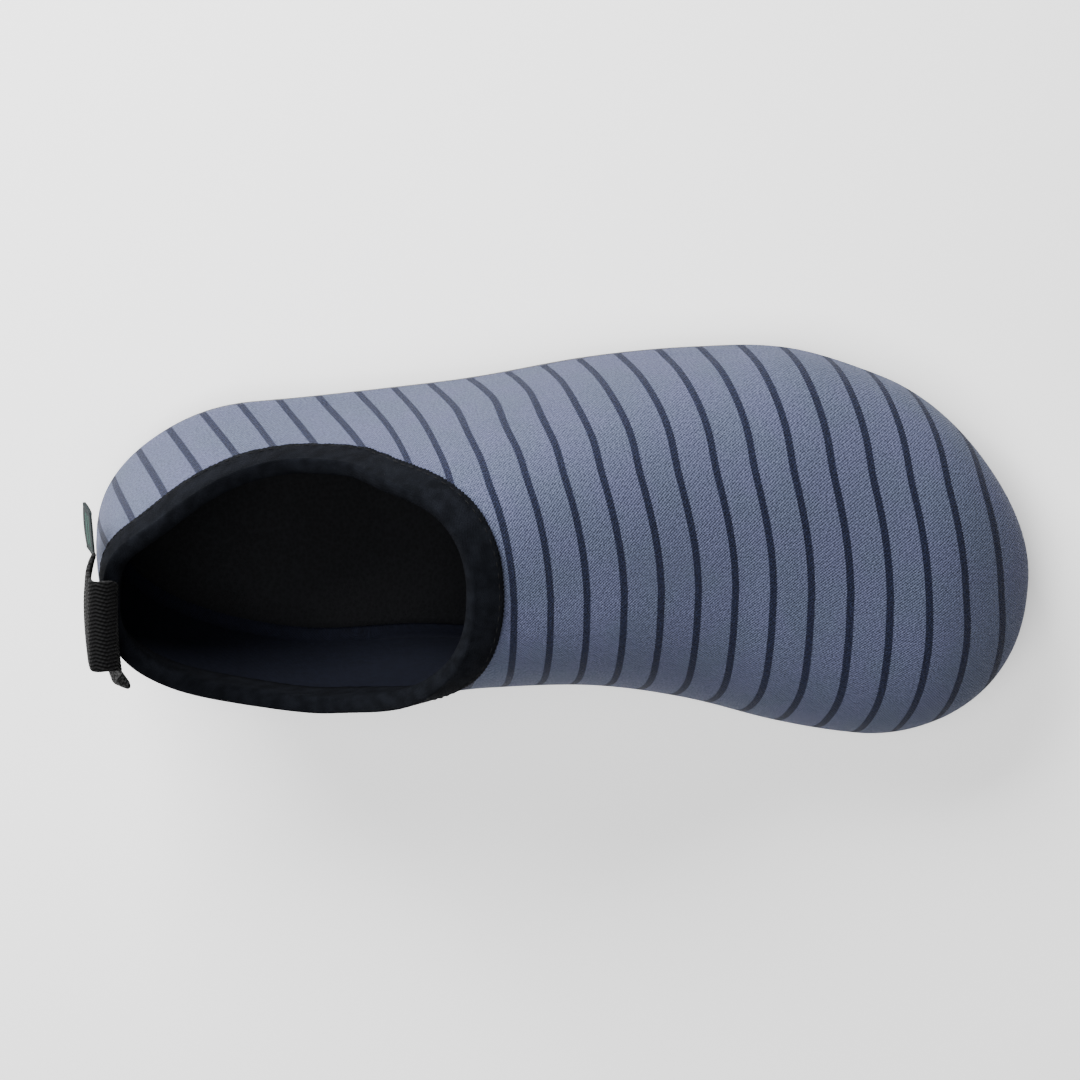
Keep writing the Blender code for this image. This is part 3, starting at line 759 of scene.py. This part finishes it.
def rib_height(u, v):
    """Raised ribs of the webbing: chevrons along its length. u and v in millimetres."""
    wave = np.abs(((u / RIB_LENGTH) % 1) - 0.5) * 2
    return np.abs(np.sin(np.pi * (v / RIB_PITCH + RIB_SLANT * wave)))


def both_faces(front, rear):
    return np.concatenate([front, rear[:, ::-1]], axis=1)


def build_loop():
    """Ribbed webbing, both faces, following the CAD loop; its cut ends have rounded corners."""
    along_count, across_count = 230, 86
    line, reach = loop_path(along_count)
    turn = Matrix.Rotation(math.radians(LOOP_YAW), 4, "Z")
    half = WEB_WIDTH / 2 + GAP
    sides = (-half - LOOP_SKEW * (1 + LOOP_SEAM / LOOP_HEIGHT), half)
    ends = (-LOOP_SEAM, LOOP_HEIGHT)
    place = seat_behind_heel(turn, Vector((0, LOOP_SIDE, HEEL_HEIGHT)), sides, ends,
                             lambda y, z: cupped(y, z, LOOP_HEIGHT))
    across = np.linspace(-1, 1, across_count)[None]
    height = line[:, 1:]
    top = height.max()
    rise = np.clip(height / top, 0, 1)
    front_leg = (np.arange(along_count) < np.argmax(height))[:, None]
    skew = np.where(front_leg, LOOP_SKEW * (height / top - 1), 0)
    twist = np.radians(LOOP_TWIST) * rise
    to_end = np.minimum(reach, reach[-1] - reach)[:, None] / (CORNER * MM)
    narrow = 1 - 0.16 * (1 - np.clip(to_end, 0, 1)) ** 2
    y = across * WEB_WIDTH / 2 * narrow
    sway = SWAY * MM * np.sin(height / MM / 4.5 + 1.2 * across) * rise
    forward = cupped(y + skew, height, top) + sway
    centre = np.stack([
        line[:, :1] + forward + y * np.sin(twist),
        skew + y * np.cos(twist),
        height + 0 * y,
    ], -1)
    tangent = unit(np.gradient(centre, axis=0))
    width_way = unit(np.gradient(centre, axis=1))
    normal = unit(np.cross(tangent, width_way))
    u = (reach / MM)[:, None] + 0 * y
    v = across * WEB_WIDTH / 2 / MM + 0 * u
    edge = np.clip((1 - np.abs(across)) * WEB_WIDTH / 2 / (SELVEDGE * MM), 0, 1)
    thick = WEB_THICK / 2 * (0.45 + 0.43 * np.sqrt(1 - (1 - edge) ** 2))
    thick = thick + RIB_DEPTH * MM * rib_height(u, v) * edge
    offset = thick[..., None] * normal
    tube = both_faces(centre + offset, centre - offset)
    matrix = np.array(place)
    obj = new_mesh("webbing_loop", in_frame(moved_by(matrix, tube.reshape(-1, 3))),
                   tube_faces(along_count, tube.shape[1]))
    fields = np.stack([u, v, 0 * u], -1)
    put_field(obj, both_faces(fields, fields))
    settle(obj)
    return obj, matrix, line, centre, normal, reach


def stitches(name, middles, ways, normals, length, radius):
    """Short thread stitches, each a small capsule lying on the cloth."""
    points, faces = [], []
    around, along_steps = 6, 5
    for middle, way, normal in zip(middles, ways, normals):
        side_way = np.cross(normal, way)
        start = len(points)
        for i in range(along_steps):
            s = math.sin(math.pi * (0.08 + 0.84 * i / (along_steps - 1)))
            centre = middle + way * length * (i / (along_steps - 1) - 0.5) + normal * radius * (s - 0.5)
            for k in range(around):
                angle = 2 * math.pi * k / around
                offset = side_way * math.cos(angle) + normal * math.sin(angle)
                points.append(centre + offset * radius * (0.35 + 0.65 * s))
        faces += tube_faces(along_steps, around, start)
    obj = new_mesh(name, points, faces)
    settle(obj)
    return obj


def build_tag():
    """Woven label hanging from under the tape, its sides folded over."""
    turn = Matrix.Rotation(math.radians(TAG_YAW), 4, "Z") @ Matrix.Rotation(math.radians(TAG_FLARE), 4, "Y")
    centre = Vector((0, TAG_SIDE, HEEL_HEIGHT - TAPE_WIDTH - GAP))
    half = TAG_WIDTH / 2
    place = seat_behind_heel(turn, centre, (-half, half), (-TAG_HEIGHT, GAP), lambda y, z: 0)
    rows, cols = 24, 30
    z = np.linspace(0, -1, rows)[:, None]
    y = np.linspace(-1, 1, cols)[None]
    curl = -0.0007 * z**2 + 0.0004 * y**2 * (-z)
    middle = np.stack([
        -TAG_THICK / 2 - 0 * y + curl,
        y * TAG_WIDTH / 2 + 0 * z,
        z * TAG_HEIGHT + 0 * y,
    ], -1)
    fold = np.clip((np.abs(y) - 0.86) / 0.02, 0, 1) * 0.10 * TAG_THICK
    half = 0.36 * TAG_THICK + fold + 0 * curl
    offset = np.stack([half, 0 * half, 0 * half], -1)
    tube = both_faces(middle + offset, middle - offset)
    obj = new_mesh("woven_label", in_frame(moved_by(np.array(place), tube.reshape(-1, 3))),
                   tube_faces(rows, tube.shape[1]))
    fields = np.stack([middle[..., 1], middle[..., 2], 0 * curl], -1) / MM
    put_field(obj, both_faces(fields, fields))
    settle(obj)
    return obj


class Nodes:
    """Small helper to write a material's node tree."""

    def __init__(self, name, colour, roughness, gloss=0.5):
        self.material = bpy.data.materials.new(name)
        self.material.use_nodes = True
        self.material.diffuse_color = (*colour, 1)
        self.tree = self.material.node_tree
        self.shader = self.tree.nodes["Principled BSDF"]
        self.shader.inputs["Base Color"].default_value = (*colour, 1)
        self.shader.inputs["Roughness"].default_value = roughness
        self.shader.inputs["Specular IOR Level"].default_value = gloss

    def node(self, kind, inputs=(), **settings):
        made = self.tree.nodes.new(kind)
        for key, value in settings.items():
            setattr(made, key, value)
        for key, value in dict(inputs).items():
            if isinstance(value, bpy.types.NodeSocket):
                self.tree.links.new(value, made.inputs[key])
            else:
                made.inputs[key].default_value = value
        return made

    def math(self, operation, a, b=0.0, c=0.0):
        return self.node("ShaderNodeMath", {0: a, 1: b, 2: c}, operation=operation).outputs[0]

    def ramp(self, value, low, high, to_low=0.0, to_high=1.0):
        limits = {"Value": value, "From Min": low, "From Max": high, "To Min": to_low, "To Max": to_high}
        return self.node("ShaderNodeMapRange", limits, interpolation_type="SMOOTHSTEP").outputs["Result"]

    def weighted(self, *pairs):
        """Sum of values, each times its weight."""
        total = self.math("MULTIPLY", *pairs[-1])
        for value, weight in pairs[-2::-1]:
            total = self.math("MULTIPLY_ADD", value, weight, total)
        return total

    def zigzag(self, value):
        """Distance of the value's fraction from a half."""
        return self.math("ABSOLUTE", self.math("SUBTRACT", self.math("FRACT", value), 0.5))

    def join(self, x, y, z):
        return self.node("ShaderNodeCombineXYZ", {0: x, 1: y, 2: z}).outputs[0]

    def split(self, vector):
        return self.node("ShaderNodeSeparateXYZ", {0: vector}).outputs

    def field(self):
        return self.split(self.node("ShaderNodeAttribute", attribute_name="weave").outputs["Vector"])

    def place(self):
        return self.node("ShaderNodeTexCoord").outputs["Object"]

    def noise(self, vector, scale, detail=2.0, roughness=0.5):
        settings = {"Vector": vector, "Scale": scale, "Detail": detail, "Roughness": roughness}
        return self.node("ShaderNodeTexNoise", settings).outputs["Fac"]

    def mix(self, share, a, b, blend="MIX"):
        made = self.node("ShaderNodeMix", data_type="RGBA", blend_type=blend)
        for socket, value in ((made.inputs[0], share), (made.inputs[6], a), (made.inputs[7], b)):
            if isinstance(value, bpy.types.NodeSocket):
                self.tree.links.new(value, socket)
            else:
                socket.default_value = value if isinstance(value, float) else (*value, 1)
        return made.outputs[2]

    def link(self, value, socket):
        self.tree.links.new(value, self.shader.inputs[socket])

    def paint(self, share, a, b, blend="MIX"):
        self.link(self.mix(share, a, b, blend), "Base Color")

    def bump(self, height, distance, strength=1.0):
        made = self.node("ShaderNodeBump", {"Height": height, "Distance": distance, "Strength": strength})
        self.link(made.outputs["Normal"], "Normal")

    def sheen(self, weight, roughness, tint):
        self.shader.inputs["Sheen Weight"].default_value = weight
        self.shader.inputs["Sheen Roughness"].default_value = roughness
        self.shader.inputs["Sheen Tint"].default_value = (*tint, 1)


def knit_cells(nodes, across, along, pitch_across, pitch_along):
    """Staggered knit dots, 0 to 1, from two distances in millimetres."""
    a = nodes.math("COSINE", nodes.math("MULTIPLY", across, 2 * math.pi / pitch_across))
    b = nodes.math("COSINE", nodes.math("MULTIPLY", along, 2 * math.pi / pitch_along))
    return nodes.math("MULTIPLY_ADD", nodes.math("MULTIPLY", a, b), 0.5, 0.5)


def knit_material():
    n = Nodes("striped_knit", (0.085, 0.098, 0.140), 0.78, 0.2)
    axes = n.field()
    stripe_number, course = axes[0], axes[1]
    across = n.math("MULTIPLY", stripe_number, STRIPE_PITCH)
    cells = knit_cells(n, across, course, 0.95, 0.80)
    spot = n.join(across, course, 0.0)
    heather = n.noise(spot, 1.9, 3.0, 0.6)
    grain = n.ramp(n.noise(spot, 1.6, 1.0), 0.30, 0.70)
    streak = n.noise(n.join(n.math("MULTIPLY", across, 0.35), course, 3.0), 0.9, 2.0)
    cloud = n.noise(spot, 0.055, 2.0)
    tone = n.mix(n.ramp(cloud, 0.35, 0.65), (0.065, 0.077, 0.120), (0.069, 0.076, 0.129))
    light = n.weighted((streak, 0.20), (heather, 0.45), (cells, 0.80), (grain, 0.55))
    tint = n.join(n.math("ADD", light, -0.01), light, n.math("ADD", light, 0.03))
    fabric = n.mix(1.0, tone, tint, "MULTIPLY")
    # a stripe is two millimetres of its pitch, its edge stepped by the knit
    jag = n.math("MULTIPLY", n.math("SUBTRACT", cells, 0.5), 0.016)
    moved = n.math("ADD", stripe_number, n.math("MULTIPLY", n.math("SUBTRACT", heather, 0.5), 0.02))
    distance = n.math("ADD", n.zigzag(n.math("ADD", moved, 0.5)), jag)
    stripe = n.ramp(distance, 0.084, 0.108, 1.0, 0.0)
    dots = n.ramp(n.weighted((grain, 0.6), (cells, 0.4)), 0.2, 0.9)
    n.paint(stripe, fabric, n.mix(dots, (0.0028, 0.004, 0.014), (0.0115, 0.0155, 0.041)))
    n.bump(n.weighted((stripe, -0.25), (grain, 0.35), (cells, 0.7), (heather, 0.5)), 0.00032)
    n.link(n.ramp(heather, 0.2, 0.8, 0.70, 0.86), "Roughness")
    n.sheen(0.03, 0.45, (0.62, 0.70, 1.0))
    return n.material


def lining_material():
    n = Nodes("inner_lining", (0.006, 0.007, 0.013), 0.85, 0.1)
    axes = n.field()
    across = n.math("MULTIPLY", axes[0], STRIPE_PITCH)
    cells = knit_cells(n, across, axes[1], 0.9, 0.7)
    heather = n.noise(n.join(across, axes[1], 7.0), 0.8, 3.0)
    share = n.ramp(n.weighted((cells, 0.3), (heather, 0.7)), 0.25, 0.8)
    n.paint(share, (0.0013, 0.0017, 0.0042), (0.0032, 0.0040, 0.0092))
    n.bump(n.math("ADD", cells, heather), 0.00015, 0.7)
    n.sheen(0.015, 0.5, (0.6, 0.7, 1.0))
    return n.material


def tape_material():
    n = Nodes("soft_tape", (0.0028, 0.0028, 0.0035), 0.9, 0.02)
    axes = n.field()
    cells = knit_cells(n, axes[0], axes[1], 0.75, 0.5)
    spot = n.join(axes[0], axes[1], 0.0)
    fuzz = n.noise(spot, 2.2, 4.0, 0.65)
    nap = n.noise(spot, 0.25, 2.0)
    tone = n.mix(n.ramp(nap, 0.3, 0.7), (0.0027, 0.0031, 0.0042), (0.0052, 0.0059, 0.0080))
    shade = n.math("ADD", n.math("MULTIPLY", fuzz, 0.9), n.math("MULTIPLY_ADD", cells, 0.2, 0.45))
    n.paint(1.0, tone, n.join(shade, shade, shade), "MULTIPLY")
    n.bump(n.weighted((fuzz, 1.0), (cells, 0.35)), 0.00035, 0.9)
    n.sheen(0.006, 0.6, (0.75, 0.78, 0.9))
    return n.material


def webbing_material():
    n = Nodes("ribbed_webbing", (0.006, 0.006, 0.0062), 0.7, 0.05)
    axes = n.field()
    wave = n.math("MULTIPLY", n.zigzag(n.math("DIVIDE", axes[0], RIB_LENGTH)), 2.0)
    phase = n.math("MULTIPLY_ADD", wave, RIB_SLANT, n.math("DIVIDE", axes[1], RIB_PITCH))
    turn = n.math("MULTIPLY", phase, math.pi)
    rib = n.math("ABSOLUTE", n.math("SINE", turn))
    yarn = n.math("SINE", n.math("MULTIPLY_ADD", axes[0], 2 * math.pi / 0.9, turn))
    yarn = n.math("MULTIPLY_ADD", yarn, 0.5, 0.5)
    fibre = n.noise(n.join(n.math("MULTIPLY", axes[0], 0.3), axes[1], 0.0), 4.0, 3.0)
    # painted highlight: the rib crests are painted lighter, standing in for light caught on the raised ribs
    painted_rib_highlight = n.math("MULTIPLY", n.math("POWER", rib, 3.0), 1.1)
    shade = n.math("ADD", painted_rib_highlight, n.math("MULTIPLY_ADD", fibre, 0.5, 0.02))
    n.paint(1.0, (0.0048, 0.0048, 0.0050), n.join(shade, shade, shade), "MULTIPLY")
    n.bump(n.weighted((rib, 1.0), (yarn, 0.35), (fibre, 0.3)), 0.00022, 0.9)
    n.link(n.ramp(rib, 0.0, 1.0, 0.85, 0.58), "Roughness")
    return n.material


def label_material():
    """Plain woven label with two thin bars."""
    n = Nodes("label_weave", (0.02, 0.025, 0.026), 0.85, 0.05)
    axes = n.field()
    weave = knit_cells(n, axes[0], axes[1], 0.36, 0.30)
    # the bars lie the same distance above and below a line 5.4 mm down the label
    off_middle = n.math("ABSOLUTE", n.math("ADD", axes[1], 5.4))
    off_bar = n.math("ABSOLUTE", n.math("SUBTRACT", off_middle, 1.3))
    length = n.ramp(n.math("ABSOLUTE", axes[0]), 4.3, 4.6, 1.0, 0.0)
    bars = n.math("MULTIPLY", n.ramp(off_bar, 0.30, 0.42, 1.0, 0.0), length)
    cloth = n.mix(weave, (0.009, 0.0112, 0.0118), (0.020, 0.025, 0.0265))
    green = n.mix(weave, (0.018, 0.075, 0.055), (0.045, 0.15, 0.112))
    n.paint(bars, cloth, green)
    n.bump(n.math("MULTIPLY_ADD", bars, 0.5, weave), 0.00012, 0.8)
    n.sheen(0.04, 0.4, (0.8, 0.9, 0.9))
    return n.material


def thread_material():
    colour = (0.004, 0.004, 0.0045)
    n = Nodes("black_thread", colour, 0.7, 0.1)
    twist = n.node("ShaderNodeTexWave", {"Vector": n.place(), "Scale": 900.0, "Distortion": 1.0},
                   bands_direction="DIAGONAL").outputs["Fac"]
    n.paint(n.ramp(twist, 0.2, 0.8), *(tuple(share * c for c in colour) for share in (0.7, 1.25)))
    n.bump(twist, 0.00008, 0.6)
    return n.material


def rubber_material():
    """Moulded rubber: satin pebble on the sides, fine zigzag sipes on the tread, painted darker as shade in
    the sipes.
    """
    n = Nodes("moulded_rubber", (0.022, 0.024, 0.030), 0.62)
    place = n.place()
    axes = n.split(place)
    pebble = n.node("ShaderNodeTexVoronoi", {"Vector": place, "Scale": 1300.0}, feature="SMOOTH_F1")
    dust = n.noise(place, 60.0, 4.0, 0.6)
    face = n.node("ShaderNodeNewGeometry").outputs["True Normal"]
    down = n.ramp(n.split(face)[2], -0.8, -0.95)
    bend = n.math("MULTIPLY", n.zigzag(n.math("MULTIPLY", axes[1], 140.0)), 2.2)
    sipe = n.ramp(n.zigzag(n.math("MULTIPLY_ADD", axes[0], 364.0, bend)), 0.10, 0.20)
    sipe = n.math("MULTIPLY", n.math("SUBTRACT", sipe, 1.0), down)
    tone = n.mix(n.ramp(dust, 0.35, 0.7), (0.019, 0.021, 0.027), (0.029, 0.031, 0.038))
    # painted shade: the sipes on the tread are painted near black, standing in for shade in their hollows
    n.paint(n.math("MULTIPLY", sipe, -0.6), tone, (0.008, 0.008, 0.010))
    n.bump(n.weighted((pebble.outputs["Distance"], 0.25), (sipe, 3.0), (dust, 0.4)), 0.0002, 0.7)
    n.link(n.ramp(dust, 0.3, 0.7, 0.52, 0.68), "Roughness")
    return n.material


def footbed_material():
    n = Nodes("footbed_cloth", (0.005, 0.005, 0.006), 0.9, 0.1)
    place = n.place()
    weave = n.node("ShaderNodeTexVoronoi", {"Vector": place, "Scale": 900.0}).outputs["Distance"]
    wear = n.noise(place, 22.0, 3.0)
    share = n.ramp(n.weighted((weave, 0.4), (wear, 0.6)), 0.2, 0.8)
    n.paint(share, (0.0016, 0.0017, 0.0020), (0.0038, 0.0040, 0.0048))
    n.bump(weave, 0.00025, 0.7)
    n.sheen(0.01, 0.6, (0.8, 0.85, 1.0))
    return n.material


def floor_material():
    n = Nodes("white_floor", (0.93, 0.93, 0.93), 0.9, 0.0)
    n.paint(n.noise(n.place(), 3.0), (0.925, 0.925, 0.925), (0.935, 0.935, 0.935))
    n.shader.inputs["Emission Color"].default_value = (1, 1, 1, 1)
    n.shader.inputs["Emission Strength"].default_value = FLOOR_GLOW
    return n.material


def add(obj, slot, replaces, *materials):
    for material in materials:
        obj.data.materials.append(material)
    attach(obj, "root")
    if replaces:
        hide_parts(replaces)


def build_tape_stitches():
    """One row of small stitches round the collar tape, near its outer edge."""
    strip = tape_columns(TAPE_COLUMNS)[0]
    normal = normals_of(strip)
    rows = strip[1] * 0.75 + strip[2] * 0.25
    puffed = rows + (GAP * 0.6 + 0.84 * TAPE_THICK) * normal[1]
    pick = np.arange(0, TAPE_COLUMNS, 9)
    ways = unit(np.roll(puffed, -1, axis=0) - np.roll(puffed, 1, axis=0))
    return stitches("tape_stitches", in_frame(puffed[pick]), ways[pick], normal[1][pick], *TAPE_STITCH)


def build_bar_tacks(matrix, line, centre, normals, reach):
    """Dense cross stitches that hold the webbing's rear leg to the heel."""
    turn = matrix[:3, :3]
    points, ways, outwards = [], [], []
    rear = np.nonzero(reach > reach[-1] / 2)[0]
    for height in (0.0008, 0.0030):
        row = rear[np.argmin(np.abs(line[rear, 1] - height))]
        for k in range(6, 80, 2):
            slant = 1 if k % 4 else -1
            outward = normals[row, k] * (1 if (turn @ normals[row, k])[0] < 0 else -1)
            middle = centre[row, k] + outward * (WEB_THICK / 2 + 0.06 * MM)
            points.append(moved_by(matrix, middle + np.array((0, 0, 0.12 * MM * slant))))
            ways.append(turn @ unit(np.array((0, 0.25 * slant, 1.0))))
            outwards.append(turn @ outward)
    return stitches("bar_tacks", in_frame(points), ways, outwards, *TACK_STITCH)


knit, lining = knit_material(), lining_material()
tape, web = tape_material(), webbing_material()
rubber, cloth, label = rubber_material(), footbed_material(), label_material()
thread = thread_material()

add(build_upper(), "upper_fabric", "upper", knit, lining)
add(build_binding(), "binding_tape", "collar_binding", tape)
loop, *loop_shape = build_loop()
add(loop, "loop_webbing", "pull_loop", web)
add(build_tag(), "tag_weave", "heel_tag", label)
footbed = build_insole()
add(footbed, "insole_foam", "insole", cloth)
add(build_outsole(), "outsole_rubber", "outsole", rubber)
add(build_tape_stitches(), "binding_tape", None, thread)
add(build_bar_tacks(*loop_shape), "loop_webbing", None, thread)


def build_floor():
    line = np.linspace(-3, 3, 9)
    points = [(x, y, -0.00005) for y in line for x in line]
    floor = new_mesh("studio_floor", points, grid_faces(9, 9, closed=False))
    floor.data.materials.append(floor_material())


def area_light(name, place, target, size, power):
    light = bpy.data.lights.new(name, "AREA")
    light.shape = "RECTANGLE"
    light.size, light.size_y = size
    light.energy = power
    obj = bpy.data.objects.new(name, light)
    obj.location = place
    obj.rotation_euler = (Vector(target) - Vector(place)).to_track_quat("-Z", "Y").to_euler()
    bpy.context.scene.collection.objects.link(obj)


def build_camera():
    """The photograph's view: from above, a little from the outer side and behind."""
    azimuth, tilt, roll = (math.radians(v) for v in (23.8, 20.0, 3.6))
    distance = 1.008
    target = Vector((0.1239 - HEEL_CENTRE, 0.0021, 0.030))
    away = Vector((-math.sin(azimuth) * math.sin(tilt), math.cos(azimuth) * math.sin(tilt), math.cos(tilt)))
    right = (-away).cross(Vector((0, 1, 0))).normalized()
    up = right.cross(-away)
    right_rolled = math.cos(roll) * right + math.sin(roll) * up
    up_rolled = -math.sin(roll) * right + math.cos(roll) * up
    camera = bpy.data.objects.new("camera", bpy.data.cameras.new("camera"))
    camera.data.sensor_width = 36
    camera.data.lens = 118.944
    camera.data.clip_start = 0.01
    axes = (right_rolled, up_rolled, away, target + away * distance)
    camera.matrix_world = Matrix([[axis[k] for axis in axes] for k in range(3)] + [(0, 0, 0, 1)])
    bpy.context.scene.collection.objects.link(camera)
    bpy.context.scene.camera = camera


def build_world():
    world = bpy.data.worlds.new("studio")
    world.use_nodes = True
    back = world.node_tree.nodes["Background"]
    back.inputs["Color"].default_value = (1.0, 1.0, 1.0, 1)
    back.inputs["Strength"].default_value = WORLD_GLOW
    bpy.context.scene.world = world


build_floor()
build_camera()
build_world()
area_light("key", (-0.46, 0.74, 0.54), (0.02, 0, 0.03), (0.6, 0.4), 28)
area_light("top", (-0.20, 0.05, 0.86), (0.06, 0, 0), (0.6, 0.5), 9.5)
